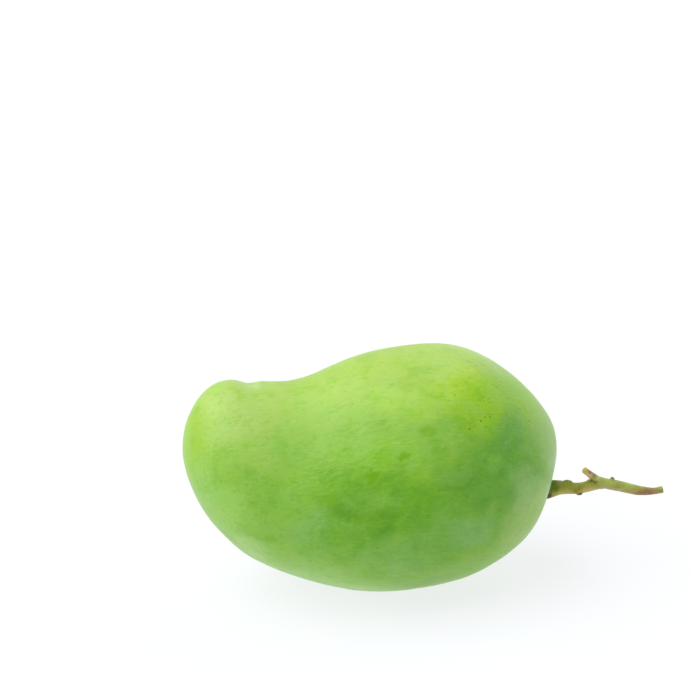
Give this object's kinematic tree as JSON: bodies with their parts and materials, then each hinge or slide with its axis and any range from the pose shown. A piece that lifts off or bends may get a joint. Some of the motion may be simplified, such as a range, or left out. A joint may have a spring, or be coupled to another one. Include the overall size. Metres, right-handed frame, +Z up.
{
  "type": "mango",
  "caption": "Whole green mango of the kidney-shaped kind, lying on its side, with its cut stalk still on.",
  "frame": {"origin": "middle of the small flat spot that the fruit rests on", "axes": "+X along the fruit from the blunt tip to the stalk, +Y to the far cheek, +Z up"},
  "size_m": [0.168, 0.0729, 0.0834],
  "materials": {
    "skin": "smooth waxy fruit skin with a thin pale bloom",
    "bark": "green and brown young bark, dull"
  },
  "bodies": {
    "root": {"fruit": "skin", "stalk": "bark"}
  },
  "joints": []
}
